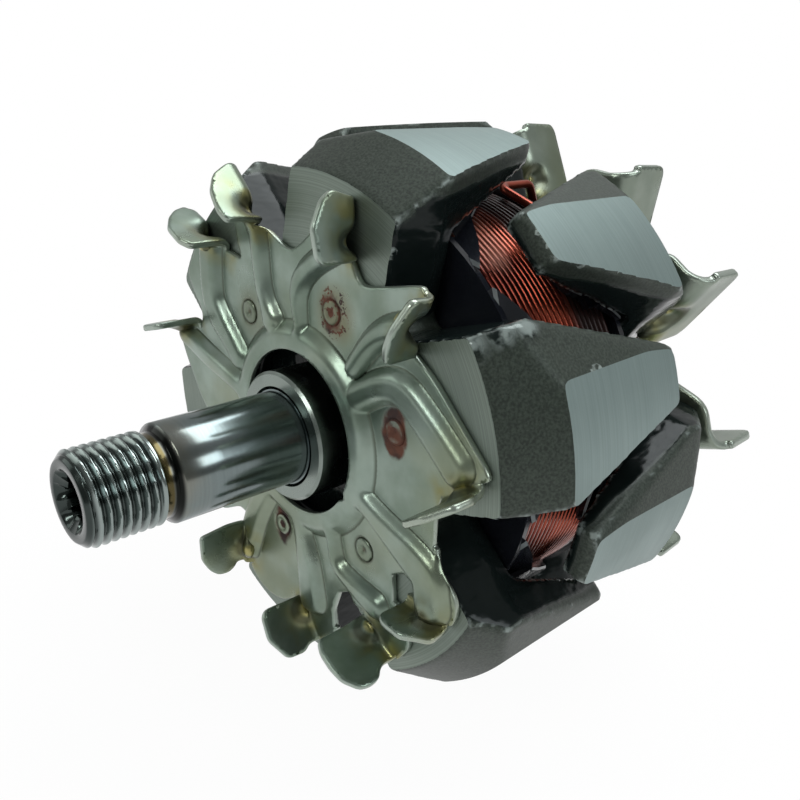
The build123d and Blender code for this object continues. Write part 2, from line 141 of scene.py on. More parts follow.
def area_lamp(name, place, aim, width, height, watts, colour):
    lamp = bpy.data.lights.new(name, "AREA")
    set_up(lamp, shape="RECTANGLE", size=width, size_y=height, energy=watts, color=colour)
    turned = (Vector(aim) - Vector(place)).to_track_quat("-Z", "Y").to_euler()
    set_up(add_object(name, lamp), location=place, rotation_euler=turned)


camera = add_object("camera", bpy.data.cameras.new("camera"))
lens = sensor_width * focal_pixels / picture_pixels
set_up(camera.data, sensor_width=sensor_width, lens=lens, clip_start=0.01, clip_end=20.0)
camera_axes = Matrix((
    rolled(0.67844, 0.73466, 0.0),
    rolled(-0.2455, 0.2267, 0.9425),
    rolled(0.69243, -0.63944, 0.33416),
)).transposed()
camera_place = rolled(0.117304, -0.082135 + spacer_face, 0.056560)
camera.matrix_world = Matrix.Translation(camera_place) @ camera_axes.to_4x4()
scene.camera = camera

area_lamp("lamp_above", (-0.02, 0.30, 0.72), (0, 0.03, 0), 0.60, 0.40, 4.4, (0.94, 0.98, 1.0))
area_lamp("lamp_right", (0.72, 0.22, 0.40), (0, 0.03, 0), 0.30, 0.30, 1.5, (0.92, 0.97, 1.0))
area_lamp("lamp_front", (0.05, -0.62, 0.50), (0, 0.0, 0), 0.35, 0.12, 1.6, (0.98, 1.0, 0.97))
area_lamp("lamp_left", (-0.55, -0.45, 0.25), (0, 0.0, 0), 0.40, 0.30, 0.5, (0.96, 1.0, 0.96))

world = bpy.data.worlds.new("room")
scene.world = world
world.use_nodes = True
room_tree = world.node_tree
room = room_tree.nodes["Background"]
set_inputs(room, {"Color": (0.84, 0.88, 0.86), "Strength": 0.26})
white = add_node(room_tree, "ShaderNodeBackground", {"Color": (1, 1, 1), "Strength": 1.0})
ray = add_node(room_tree, "ShaderNodeLightPath").outputs
look_way = add_node(room_tree, "ShaderNodeTexCoord").outputs["Generated"]
backdrop_share = ramp(vector_maths("DOT_PRODUCT", look_way, (-0.62, 0.60, 0.50)), -0.15, 0.80, 0.0, 0.46)
white_share = maths("MAXIMUM", ray["Is Camera Ray"], times(backdrop_share, ray["Is Glossy Ray"]))
mixed_shaders(room_tree, "World Output", white_share, room.outputs["Background"], white.outputs["Background"])

floor_mesh = bpy.data.meshes.new("floor")
floor_mesh.from_pydata(floor_corners, [], [(0, 1, 2, 3)])
floor = add_object("floor", floor_mesh)
paper, paper_tree, paper_face = shader_tree("bench_paper")
set_inputs(paper_face, {"Base Color": (0.86, 0.87, 0.87), "Roughness": 0.9, "Specular IOR Level": 0.1})
paper_white = add_node(paper_tree, "ShaderNodeEmission", {"Color": (1, 1, 1), "Strength": 1.0})
ray = add_node(paper_tree, "ShaderNodeLightPath").outputs
paper_far = ramp(vector_maths("LENGTH", own_place(paper_tree)), 0.06, 0.13, 0.965, 1.0)
paper_share = times(maths("MAXIMUM", ray["Is Camera Ray"], ray["Is Glossy Ray"]), paper_far)
mixed_shaders(
    paper_tree, "Material Output", paper_share, paper_face.outputs["BSDF"], paper_white.outputs["Emission"],
)
floor_mesh.materials.append(paper)

# Pole pieces: two hot-forged steel pieces with six claws each, pressed on the shaft. The forging keeps its
# scale and rounded corners, the arms' faces are milled, and the claws' outsides are ground on the finished
# rotor. The whole rotor was then dipped, so the flanks and the valleys carry a glossy dark coat.
rotor_r = 53.1 * mm
claw_reach = 39.1 * mm
claw_tip = 1.2 * mm
shoulder_depth = 9.1 * mm
shoulder_slope = 6.3 / 9.1
shoulder_foot_r = 46.6 * mm
bevel_slope = 0.4307
bevel_width = 3.4 * mm
grinding_stock = 0.5 * mm
milling_stock = 0.4 * mm
touching = 0.02 * mm
claw_angles = {"front_pole_piece": 15.7, "rear_pole_piece": 45.7}
pole_faces = {"front_pole_piece": (6.3 * mm, 1), "rear_pole_piece": (62.6 * mm, -1)}


def plus(first, second):
    return maths("ADD", first, second)


def noise_at(tree, scale, detail, stretch=(1, 1, 1)):
    """Noise on the piece's own coordinates, stretched along its axes."""
    place = add_node(tree, "ShaderNodeMapping", {"Vector": own_place(tree), "Scale": stretch})
    inputs = {"Vector": place.outputs["Vector"], "Scale": scale, "Detail": detail}
    noise = add_node(tree, "ShaderNodeTexNoise", inputs)
    return noise.outputs["Fac"]


def blend(share, first, second):
    """A mix of two colours."""
    inputs = {"Factor": share, 6: first, 7: second}
    return add_node(share.id_data, "ShaderNodeMix", inputs, data_type="RGBA").outputs[2]


def blend_value(share, first, second):
    """A mix of two numbers."""
    return add_node(share.id_data, "ShaderNodeMix", {"Factor": share, 2: first, 3: second}).outputs[0]


def parts_of(vector):
    return add_node(vector.id_data, "ShaderNodeSeparateXYZ", {"Vector": vector}).outputs


def bumped(face, height, strength, distance):
    inputs = {"Height": height, "Strength": strength, "Distance": distance}
    set_inputs(face, {"Normal": add_node(face.id_data, "ShaderNodeBump", inputs).outputs["Normal"]})


def from_shaft(tree):
    """The way from the shaft's axis to a point."""
    return vector_maths("MULTIPLY", own_place(tree), (1, 0, 1))


forged, forged_tree, forged_face = shader_tree("pole_forging")
radial = from_shaft(forged_tree)
facing = add_node(forged_tree, "ShaderNodeNewGeometry").outputs
alike = vector_maths("DOT_PRODUCT", vector_maths("NORMALIZE", radial), facing["Normal"])
patches = noise_at(forged_tree, 90, 3)
ragged = times(patches, 0.002)
bare_share = maths(
    "MAXIMUM", ramp(plus(alike, times(patches, 0.35)), 0.55, 0.85),
    ramp(plus(vector_maths("LENGTH", radial), ragged), 0.0505, 0.0520),
)
grain = noise_at(forged_tree, 2300, 6)
scale_colour = blend(ramp(grain, 0.30, 0.72), (0.021, 0.028, 0.022), (0.050, 0.064, 0.050))
# Painted highlight: three spots on a claw's corner by the pole face are coated glossy and painted pale, standing
# in for the lamp's reflection.
painted_highlight_spots = [
    ((0.0394, 0.0052, 0.0283), 0.0040), ((0.0403, 0.0093, 0.0299), 0.0036),
    ((0.0415, 0.0139, 0.0303), 0.0030),
]
painted_highlight_share = None
for spot, reach in painted_highlight_spots:
    off_edge = plus(vector_maths("DISTANCE", own_place(forged_tree), spot), ragged)
    near_spot = ramp(off_edge, reach - 0.0012, reach + 0.0012, 1.0, 0.0)
    painted_highlight_share = near_spot if painted_highlight_share is None else maths("MAXIMUM", painted_highlight_share, near_spot)
bare_share = maths("SUBTRACT", bare_share, painted_highlight_share)
dip_colour = blend(patches, (0.004, 0.007, 0.007), (0.012, 0.017, 0.016))
wear_and_painted_highlight = times(ramp(facing["Pointiness"], 0.522, 0.552), ramp(noise_at(forged_tree, 700, 4), 0.42, 0.58))
painted_highlight_gloss = times(painted_highlight_share, ramp(noise_at(forged_tree, 380, 3), 0.40, 0.58))
# Worn convex edges, and the painted highlight in those spots, are painted pale.
wear_and_painted_highlight = maths("MAXIMUM", wear_and_painted_highlight, painted_highlight_gloss)
coated_tone = blend(bare_share, dip_colour, scale_colour)
set_inputs(forged_face, {
    "Base Color": blend(times(wear_and_painted_highlight, 0.75), coated_tone, (0.33, 0.38, 0.36)),
    "Roughness": ramp(bare_share, 0.0, 1.0, 0.14, 0.46),
    "Metallic": ramp(bare_share, 0.0, 1.0, 0.1, 0.4),
    "Specular IOR Level": ramp(bare_share, 0.0, 1.0, 0.14, 0.45),
})
scale_lumps = plus(grain, times(noise_at(forged_tree, 420, 2), 1.2))
coat_runs = times(noise_at(forged_tree, 230, 2, (1, 0.6, 1)), 13.0)
bumped(forged_face, blend_value(bare_share, coat_runs, scale_lumps), 0.4, 0.00007)

ground, ground_tree, ground_face = shader_tree("pole_ground")
facing = add_node(ground_tree, "ShaderNodeNewGeometry").outputs["Normal"]
milled = ramp(maths("ABSOLUTE", parts_of(facing)["Y"]), 0.6, 0.9)
wheel_marks = noise_at(ground_tree, 1.0, 4, (35, 4200, 35))
cutter_rings = add_node(ground_tree, "ShaderNodeTexNoise", noise_dimensions="1D")
set_inputs(cutter_rings, {"W": vector_maths("LENGTH", from_shaft(ground_tree)), "Scale": 3600, "Detail": 3})
tool_lines = blend_value(milled, wheel_marks, cutter_rings.outputs["Fac"])
line_share = ramp(tool_lines, 0.3, 0.7)
clouds = noise_at(ground_tree, 60, 3)
ground_colour = blend(line_share, (0.225, 0.285, 0.275), (0.255, 0.32, 0.31))
milled_colour = blend(line_share, (0.17, 0.205, 0.175), (0.225, 0.265, 0.23))
steel_colour = blend(milled, ground_colour, milled_colour)
set_inputs(ground_face, {
    "Base Color": blend(ramp(clouds, 0.35, 0.8, 0.0, 0.35), steel_colour, (0.16, 0.20, 0.185)),
    "Roughness": ramp(clouds, 0.3, 0.75, 0.44, 0.55),
    "Metallic": 0.9,
})
bumped(ground_face, tool_lines, 0.12, 0.00002)


def mesh_from(work, name):
    """The finished work as a mesh."""
    mesh = bpy.data.meshes.new(name)
    work.to_mesh(mesh)
    work.free()
    return mesh


def solid_from(work, name):
    """The finished work as an object, with its faces turned outwards."""
    bmesh.ops.recalc_face_normals(work, faces=work.faces)
    return add_object(name, mesh_from(work, name))


def with_stock(mesh_in, name):
    """The forging before it is ground and milled, with its outside and its face proud of the finished size."""
    face_y, inward = pole_faces[name]
    work = bmesh.new()
    work.from_mesh(mesh_in)
    bmesh.ops.remove_doubles(work, verts=work.verts, dist=0.00001)
    for corner in work.verts:
        r = hypot(corner.co.x, corner.co.z)
        depth = (corner.co.y - face_y) * inward
        angle = degrees(atan2(corner.co.z, corner.co.x)) - degrees(rotor_roll) - claw_angles[name]
        off_centre = radians((angle + 30) % 60 - 30)
        if r > rotor_r - touching:
            side = r * sin(off_centre)
            if side > 0:
                side -= grinding_stock / bevel_slope * min(side / bevel_width, 1)
            r += grinding_stock
            turn = atan2(corner.co.z, corner.co.x) - off_centre + side / r
            corner.co.x = r * cos(turn)
            corner.co.z = r * sin(turn)
            if depth < shoulder_depth + 0.1 * mm:
                corner.co.y += inward * grinding_stock / shoulder_slope
            elif depth > claw_reach - claw_tip:
                corner.co.x *= 1 + grinding_stock / r
                corner.co.z *= 1 + grinding_stock / r
        if depth < touching:
            corner.co.y -= inward * milling_stock
            if r > shoulder_foot_r:
                shrink = 1 - milling_stock * shoulder_slope / r
                corner.co.x *= shrink
                corner.co.z *= shrink
    return mesh_from(work, name + "_stock")


def plain_copy(obj):
    """The evaluated object as a mesh with no modifiers."""
    ready = obj.evaluated_get(bpy.context.evaluated_depsgraph_get())
    return bpy.data.meshes.new_from_object(ready)


def cut_with(obj, operation, cutter):
    """Cut the object with another one, which is used up."""
    set_up(obj.modifiers.new("cut", "BOOLEAN"), operation=operation, solver="EXACT", object=cutter)
    finished = plain_copy(obj)
    obj.modifiers.clear()
    obj.data = finished
    bpy.data.objects.remove(cutter)


def barrel(name, radius, start_y, end_y, sides):
    """A closed cylinder about the shaft, for cutting."""
    work = bmesh.new()
    turns = [2 * pi * n / sides for n in range(sides)]
    ends = [[work.verts.new((radius * cos(a), y, radius * sin(a))) for a in turns] for y in (start_y, end_y)]
    for n in range(sides):
        after = (n + 1) % sides
        work.faces.new((ends[0][n], ends[0][after], ends[1][after], ends[1][n]))
    for end in ends:
        work.faces.new(end)
    return solid_from(work, name)


def smooth_faces(mesh, is_smooth):
    """Smooth faces, with a sharp line along each edge that isn't."""
    work = bmesh.new()
    work.from_mesh(mesh)
    for face in work.faces:
        face.smooth = True
    for edge in work.edges:
        edge.smooth = is_smooth(edge)
    work.to_mesh(mesh)
    work.free()


def smooth_on_pole(edge):
    """Sharp where cut steel meets the forging, and between two cut faces at an angle."""
    kinds = {face.material_index for face in edge.link_faces}
    turned = len(edge.link_faces) == 2 and kinds == {1} and edge.calc_face_angle(0) > 0.6
    return len(kinds) < 2 and not turned


for name in ("front_pole_piece", "rear_pole_piece"):
    face_y, inward = pole_faces[name]
    stock = add_object(name + "_stock", with_stock(nodes[name].data, name))
    set_up(stock.modifiers.new("skin", "REMESH"), mode="VOXEL", voxel_size=0.8 * mm)
    set_up(stock.modifiers.new("wear", "SMOOTH"), factor=0.5, iterations=4)
    rough = plain_copy(stock)
    bpy.data.objects.remove(stock)
    pole = add_object("forged_" + name, rough)
    wheel = barrel("grinding_" + name, rotor_r, face_y, face_y + inward * (claw_reach + 4 * mm), 720)
    rough.materials.clear()
    for mesh in (rough, wheel.data):
        mesh.materials.append(forged)
        mesh.materials.append(ground)
    wheel.data.polygons.foreach_set("material_index", np.ones(len(wheel.data.polygons), dtype=np.int32))
    cut_with(pole, "INTERSECT", wheel)
    smooth_faces(pole.data, smooth_on_pole)
    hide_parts(name)
    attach(pole, "root")

# Shaft: turned and ground steel, with a rolled thread for the pulley's nut and a six-lobed socket in its end.
# The relief behind the thread has browned, the bearing seat is bright, and two grooves take the conductors.
thread_start, thread_end, thread_pitch, thread_depth = -38.6, -26.1, 1.5, 0.78
thread_crest_r, chamfer_r, thread_rows = 7.93, 6.5, 120
socket_r, lobe_centre_r, lobe_r = 3.1, 3.4, 1.0
shaft_steps = [
    (-26.05, 7.35), (-25.7, 7.2), (-24.1, 7.2), (-24.0, 7.24), (-23.9, 7.35), (-23.25, 8.4), (-23.1, 8.5),
    (-16.0, 8.5), (-8.0, 8.5), (-0.1, 8.5), (0.0, 8.52), (0.05, 8.8), (20.0, 8.8), (45.0, 8.8), (68.5, 8.8),
    (69.1, 8.3), (69.15, 7.55), (69.2, 7.5), (81.5, 7.5), (82.0, 7.05), (82.1, 6.95), (82.15, 5.05), (82.2, 5.0),
    (94.0, 5.0), (106.5, 5.0), (107.0, 4.6), (107.1, 4.5),
]
columns = 192
turn_of = np.arange(columns) * 2 * pi / columns
from_lobe = np.radians((np.degrees(turn_of) - degrees(rotor_roll) + 30) % 60 - 30)
off_lobe = lobe_centre_r * np.sin(from_lobe)
lobe_out = lobe_centre_r * np.cos(from_lobe) + np.sqrt(np.maximum(lobe_r ** 2 - off_lobe ** 2, 0))
lobed = np.where(np.abs(off_lobe) < lobe_r, np.maximum(socket_r, lobe_out), socket_r)
rows = [(y, np.full(columns, r)) for y, r in reversed(shaft_steps)]
for step in range(thread_rows + 1):
    y = thread_end - 0.1 - step * (thread_end - 0.1 - thread_start - 0.02) / thread_rows
    phase = ((y + thread_pitch * turn_of / (2 * pi)) / thread_pitch) % 1
    flank = np.clip((np.abs(2 * phase - 1) - 0.14) / 0.74, 0, 1)
    fade = min(1, (thread_end - y) / 1.2)
    crest = thread_crest_r - thread_depth * (flank ** 0.85) * fade
    chamfer = chamfer_r + (y - thread_start) * 0.98
    rows.append((y, np.minimum(crest, chamfer + 0.12)))
rows += [(thread_start + depth, np.full(columns, r)) for depth, r in ((0, 6.42), (0, 5.3), (0.05, 5.2))]
for depth, share in ((0.5, 0.35), (0.9, 0.7), (1.3, 1.0)):
    rows.append((thread_start + depth, 5.2 - (5.2 - lobed) * share))
for depth, share in ((1.4, 0.985), (5.0, 0.98), (8.9, 0.98), (9.0, 0.9)):
    rows.append((thread_start + depth, lobed * share))

work = bmesh.new()
grid = []
for y, radii in rows:
    grid.append([work.verts.new((r * cos(a) * mm, y * mm, r * sin(a) * mm)) for r, a in zip(radii, turn_of)])
for upper, lower in zip(grid, grid[1:]):
    for n in range(columns):
        work.faces.new((upper[n], upper[(n + 1) % columns], lower[(n + 1) % columns], lower[n]))
for end, y in ((grid[0], rows[0][0]), (grid[-1], rows[-1][0])):
    end_centre = work.verts.new((0, y * mm, 0))
    for n in range(columns):
        work.faces.new((end[n], end[(n + 1) % columns], end_centre))
turned_shaft = solid_from(work, "turned_shaft")

groove_turn = radians(75.7) + rotor_roll
groove_floor_r, groove_width, groove_start, groove_length = 5.4, 2.6, 64.2, 17.9
work = bmesh.new()
for turn in (groove_turn, groove_turn + pi):
    for corner in bmesh.ops.create_cube(work, size=1.0)["verts"]:
        out = (groove_floor_r + (corner.co.x + 0.5) * 8) * mm
        across = corner.co.z * groove_width * mm
        corner.co = Vector((
            out * cos(turn) - across * sin(turn),
            (groove_start + (corner.co.y + 0.5) * groove_length) * mm,
            out * sin(turn) + across * cos(turn),
        ))
cut_with(turned_shaft, "DIFFERENCE", solid_from(work, "grooves"))
smooth_faces(turned_shaft.data, lambda edge: len(edge.link_faces) < 2 or edge.calc_face_angle(0) < 0.75)


def band(value, rise, fall, top=1.0):
    """Up over the rise and down again over the fall, as a share."""
    return times(ramp(value, *rise), ramp(value, *fall, top, 0.0))


bright, bright_tree, bright_face = shader_tree("shaft_steel")
along_y = parts_of(own_place(bright_tree))["Y"]
lines = noise_at(bright_tree, 1.0, 3, (30, 2200, 30))
clouds = noise_at(bright_tree, 110, 3)
root_share = ramp(vector_maths("LENGTH", from_shaft(bright_tree)), 0.0071, 0.0078, 1.0, 0.0)
thread_colour = blend(root_share, (0.25, 0.29, 0.28), (0.045, 0.055, 0.052))
shaft_colour = blend(lines, (0.135, 0.165, 0.165), (0.19, 0.225, 0.225))
for share, colour in (
    (times(ramp(along_y, -0.0235, -0.0165, 0.3, 0.0), ramp(clouds, 0.35, 0.7)), (0.26, 0.20, 0.12)),
    (ramp(along_y, -0.0249, -0.0243, 1.0, 0.0), (0.085, 0.07, 0.032)),
    # A black band just before the chamfer is painted shadow and a painted dark reflection.
    (band(along_y, (-0.0249, -0.0243), (-0.0236, -0.0231)), (0.012, 0.013, 0.012)),
    (ramp(along_y, -0.0262, -0.0258, 1.0, 0.0), thread_colour),
):
    shaft_colour = blend(share, shaft_colour, colour)
set_inputs(bright_face, {
    "Base Color": shaft_colour, "Roughness": ramp(clouds, 0.3, 0.7, 0.15, 0.19), "Metallic": 1.0,
})
bumped(bright_face, lines, 0.08, 0.00001)
turned_shaft.data.materials.clear()
turned_shaft.data.materials.append(bright)
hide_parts("shaft")
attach(turned_shaft, "root")


# Spacer and core: two turned steel blocks on the shaft. The spacer's front edge is where the bearing rests,
# and both carry patches of old oil.
def steel_finish(name, dark, light, roughness, metallic):
    """Turned steel with fine rings round the shaft."""
    steel, tree, face = shader_tree(name)
    rings_seen = noise_at(tree, 1.0, 3, (25, 1900, 25))
    oil = noise_at(tree, 140, 3)
    tone, oiled = blend(rings_seen, dark, light), tuple(0.5 * part for part in dark)
    set_inputs(face, {
        "Base Color": blend(ramp(oil, 0.5, 0.8, 0, 0.5), tone, oiled),
        "Roughness": ramp(oil, 0.3, 0.7, roughness, roughness + 0.12),
        "Metallic": metallic,
    })
    bumped(face, rings_seen, 0.15, 0.00002)
    return steel


def finish_node(name, material):
    nodes[name].data.materials.clear()
    nodes[name].data.materials.append(material)


finish_node("front_spacer", steel_finish("spacer_steel", (0.17, 0.20, 0.18), (0.27, 0.31, 0.285), 0.22, 1.0))
finish_node("pole_core", steel_finish("core_steel_finish", (0.10, 0.10, 0.10), (0.18, 0.18, 0.17), 0.4, 0.9))

# Bobbin: one black moulding that holds the winding off the pole pieces, coated with the same glossy dip, with
# a petal under each claw whose outer edge is painted pale as a highlight.
petal_front = [(27.5, 20.6), (24.5, 22.4), (20.5, 24.6), (12.4, 28.3), (8.0, 33.0), (4.5, 37.4), (2.0, 38.6)]
petal_rear = [(17.0, 48.3), (14.6, 46.8), (13.0, 45.0), (9.9, 41.1), (7.3, 38.1), (5.0, 36.9), (2.0, 36.4)]
petal_layers = ((41.15, 1.0), (42.5, 1.0), (42.9, 0.965))


def grained(name, scale, detail, dark, light, roughness, metallic=0.0, bump=None, bump_scale=None):
    """A finish in two colours mixed by one noise, which also gives its roughness where that is a pair."""
    finish, tree, face = shader_tree(name)
    grain_seen = noise_at(tree, scale, detail)
    if isinstance(roughness, tuple):
        roughness = ramp(grain_seen, 0.3, 0.7, *roughness)
    set_inputs(face, {
        "Base Color": blend(grain_seen, dark, light), "Roughness": roughness, "Metallic": metallic,
    })
    if bump:
        bumped(face, noise_at(tree, bump_scale, 2) if bump_scale else grain_seen, *bump)
    return finish


moulding = grained(
    "bobbin_moulding", 160, 3, (0.006, 0.007, 0.010), (0.016, 0.018, 0.024), (0.12, 0.26), bump=(0.3, 0.0001),
)
finish_node("coil_bobbin", moulding)
work = bmesh.new()
for first_angle, half_outline in ((15.7, petal_front), (45.7, petal_rear)):
    outline = half_outline + [(-half, y) for half, y in reversed(half_outline)]
    count = len(outline)
    middle_y = sum(y for half, y in outline) / count
    for number in range(6):
        centre = radians(first_angle + 60 * number) + rotor_roll
        layers = []
        for r, shrink in petal_layers:
            layers.append([work.verts.new((
                r * cos(centre + radians(half * shrink)) * mm,
                (middle_y + (y - middle_y) * shrink) * mm,
                r * sin(centre + radians(half * shrink)) * mm,
            )) for half, y in outline])
        for level, (low, high) in enumerate(zip(layers, layers[1:])):
            for n in range(count):
                after = (n + 1) % count
                work.faces.new((low[n], low[after], high[after], high[n])).material_index = level
        for layer in (layers[0], layers[2]):
            for n in range(count // 2 - 1):
                work.faces.new((layer[n], layer[n + 1], layer[count - 2 - n], layer[count - 1 - n]))
bobbin_petals = solid_from(work, "bobbin_petals")
# The petals' outer edge faces get a pale finish: a painted highlight.
for finish in (moulding, grained("bobbin_edge_painted_highlight", 260, 3, (0.02, 0.024, 0.028), (0.42, 0.46, 0.47), 0.25)):
    bobbin_petals.data.materials.append(finish)
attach(bobbin_petals, "root")

# Winding: enamelled copper wire wound on the bobbin in layers, the outer one a little uneven, and varnished.
# Its rear half is painted dark: partly the black dip that ran over it, partly painted shadow under the claws.
copper, copper_tree, copper_face = shader_tree("winding_enamel")
hue = noise_at(copper_tree, 70, 3)
varnish = ramp(noise_at(copper_tree, 45, 2), 0.52, 0.66)
wire_colour = blend(ramp(hue, 0.3, 0.7), (0.095, 0.015, 0.010), (0.33, 0.066, 0.034))
wire_colour = blend(times(varnish, 0.35), wire_colour, (0.30, 0.17, 0.13))
wire_parts = parts_of(own_place(copper_tree))
# Painted shadow and dip: the wire darkens towards the rear, a little sooner higher up.
dip_and_shade_depth = plus(plus(wire_parts["Y"], times(wire_parts["Z"], 0.133)), times(hue, 0.003))
dip_and_shade_share = ramp(dip_and_shade_depth, 0.0410, 0.0445, 0.0, 0.93)
set_inputs(copper_face, {
    "Base Color": blend(dip_and_shade_share, wire_colour, (0.010, 0.006, 0.006)),
    "Roughness": ramp(varnish, 0, 1, 0.25, 0.42),
    "Metallic": ramp(dip_and_shade_share, 0.0, 0.93, 0.92, 0.0),
    "Specular IOR Level": ramp(dip_and_shade_share, 0.0, 0.93, 0.5, 0.2),
    "Coat Weight": ramp(dip_and_shade_share, 0.0, 0.93, 0.12, 0.0),
    "Coat Roughness": 0.15,
})
bumped(copper_face, noise_at(copper_tree, 900, 2), 0.08, 0.00005)

winding_tree = bpy.data.node_groups.new("winding_layer", "GeometryNodeTree")
winding_tree.interface.new_socket("Geometry", in_out="OUTPUT", socket_type="NodeSocketGeometry")
sizes = {"Turns": 20.0, "Layer radius": 0.0404, "Wire radius": 0.00062, "Length": 0.0252, "Start": 0.0218}
for label, number in sizes.items():
    socket = winding_tree.interface.new_socket(label, in_out="INPUT", socket_type="NodeSocketFloat")
    socket.default_value = number
given = add_node(winding_tree, "NodeGroupInput").outputs


def winding_step(kind, output, **inputs):
    """One step of the winding; the words of an input's label are joined by lines."""
    inputs = {label.replace("_", " "): value for label, value in inputs.items()}
    return add_node(winding_tree, "GeometryNode" + kind, inputs).outputs[output]


spiral = winding_step(
    "CurveSpiral", "Curve", Resolution=110, Rotations=given["Turns"], Start_Radius=given["Layer radius"],
    End_Radius=given["Layer radius"], Height=given["Length"],
)
shift = add_node(winding_tree, "ShaderNodeCombineXYZ", {"Y": given["Start"]}).outputs["Vector"]
placed = winding_step("Transform", "Geometry", Geometry=spiral, Translation=shift, Rotation=(-pi / 2, 0, 0))
waver = add_node(winding_tree, "ShaderNodeTexNoise", {"Scale": 75.0, "Detail": 1.0}).outputs["Color"]
slack = vector_maths("MULTIPLY", vector_maths("SUBTRACT", waver, (0.5, 0.5, 0.5)), (0.0004, 0.0011, 0.0004))
loose = winding_step("SetPosition", "Geometry", Geometry=placed, Offset=slack)
section = winding_step("CurvePrimitiveCircle", "Curve", Resolution=8, Radius=given["Wire radius"])
drawn = winding_step("CurveToMesh", "Mesh", Curve=loose, Profile_Curve=section, Fill_Caps=True)
whole = winding_step("RealizeInstances", "Geometry", Geometry=drawn)
coated = winding_step("SetMaterial", "Geometry", Geometry=whole, Material=copper)
add_node(winding_tree, "NodeGroupOutput", {0: coated})
for name, changed in (
    ("winding_outer", {}), ("winding_under", {"Layer radius": 0.0395, "Start": 0.0224, "Length": 0.0243}),
):
    layer = add_object(name, bpy.data.meshes.new(name))
    winder = layer.modifiers.new("winder", "NODES")
    winder.node_group = winding_tree
    for item in winding_tree.interface.items_tree:
        if item.in_out == "INPUT":
            winder[item.identifier] = changed.get(item.name, sizes[item.name])
    wire_mesh = plain_copy(layer)
    layer.modifiers.clear()
    layer.data = wire_mesh
    for face in wire_mesh.polygons:
        face.use_smooth = True
    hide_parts("field_coil")
    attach(layer, "root")

# Leads and sleeves: the winding's two ends in red-brown enamel, with a varnished tube over each. They run
# through the rear pole piece to the slip rings' conductors.
lead_enamel = grained(
    "lead_enamel", 300, 2, (0.20, 0.035, 0.022), (0.36, 0.075, 0.042), 0.3, 0.8, (0.1, 0.00005), bump_scale=900,
)
tube = grained("sleeve_varnish", 1600, 2, (0.24, 0.17, 0.07), (0.42, 0.33, 0.16), 0.45, bump=(0.4, 0.0001))
for end in ("start", "end"):
    finish_node(f"coil_{end}_lead", lead_enamel)
    finish_node(f"{end}_lead_sleeve", tube)

# Slip rings: two copper rings moulded on a black body, each with a brighter track where the brushes ran,
# and the tinned copper strips that join them to the winding.
track, track_tree, track_face = shader_tree("ring_track")
along_y = parts_of(own_place(track_tree))["Y"]
off_first, off_second = (maths("ABSOLUTE", maths("SUBTRACT", along_y, middle)) for middle in (0.0891, 0.1001))
worn = ramp(maths("MINIMUM", off_first, off_second), 0.0026, 0.0033, 1.0, 0.0)
scratches = noise_at(track_tree, 1.0, 3, (20, 3000, 20))
bright_track = blend(scratches, (0.50, 0.23, 0.12), (0.78, 0.42, 0.26))
dull_edge = blend(scratches, (0.20, 0.085, 0.045), (0.36, 0.17, 0.09))
set_inputs(track_face, {
    "Base Color": blend(worn, dull_edge, bright_track), "Roughness": ramp(worn, 0, 1, 0.42, 0.22),
    "Metallic": 1.0,
})
bumped(track_face, scratches, 0.2, 0.00003)
strip = grained(
    "tinned_strip", 400, 3, (0.42, 0.30, 0.20), (0.60, 0.52, 0.42), (0.25, 0.4), 1.0, (0.2, 0.00005),
)
for side in ("inner", "outer"):
    finish_node(f"slip_ring_{side}", track)
    finish_node(f"{side}_ring_conductor", strip)
finish_node("slip_ring_body", grained(
    "ring_body_moulding", 300, 3, (0.012, 0.010, 0.009), (0.030, 0.026, 0.022), (0.38, 0.55),
    bump=(0.3, 0.0001),
))

# Front fan: one blank of zinc-plated steel sheet, pressed so that a ring and a rib to each arm stand up, and
# its eleven paddles folded towards the drive end. It is welded to the pole piece at six spots, which have
# rusted, and the plating has a yellow tint where it was bent. A weld spot is given by its radius, its angle,
# and how much rust and how wide a brown halo it has.
weld_spots = [
    (25.9, 15.2, 1.0, 0.0), (25.4, 68.5, 0.62, 1.0), (25.0, 129.0, 0.16, 0.5), (25.0, 190.0, 0.3, 0.2),
    (23.9, 250.3, 0.7, 0.0), (24.6, 312.9, 0.08, 0.2),
]
quiet_marks = {"rust": 0.0, "weld": 9.0, "halo": 0.0}  # what a point away from every weld carries
paddle = [(0, 0), (-0.2, 9.6), (0.8, 10.7), (5.4, 11.0), (10.0, 8.3), (10.3, 4.6), (9.2, 3.1), (9.2, 0)]
sloped_paddle = [(-0.5, 0), (-0.5, 7.4), (2.0, 8.2), (5.1, 7.9), (9.7, 5.4), (9.2, 0)]
round_paddle = [(0.6, 0), (0.6, 7.8), (1.7, 9.1), (6.4, 9.4), (10.3, 7.2), (11.6, 5.2), (10.6, 2.4), (10.0, 0)]
outer_paddle = [(2.4, 0), (2.4, 8.7), (4.7, 9.3), (9.0, 8.6), (12.4, 6.5), (13.9, 4.0), (14.7, 1.6), (14.0, 0)]
large_paddle = [
    (2.4, 0), (2.4, 8.9), (4.7, 10.0), (9.2, 9.7), (12.4, 7.8), (14.6, 5.6), (15.6, 3.0), (14.6, 0.6), (13.4, 0),
]
tall_paddle = [
    (0, 0), (-0.9, 3.5), (-1.1, 6.5), (-0.4, 12.7), (4.9, 12.5), (7.8, 10.9), (9.4, 9.1), (9.7, 7.0), (9.0, 5.5),
    (7.8, 4.8), (7.8, 3.0), (9.2, 0.8), (9.2, 0),
]
wide_paddle = [
    (-0.4, 0), (-0.4, 11.3), (1.8, 12.3), (5.0, 12.4), (7.8, 11.9), (10.4, 9.9), (10.9, 8.0), (10.6, 5.9),
    (9.2, 4.6), (8.6, 3.0), (9.2, 0),
]
low_paddle = [(0, 0), (-0.3, 7.0), (1.1, 7.9), (5.3, 8.0), (9.6, 4.9), (9.2, 0)]
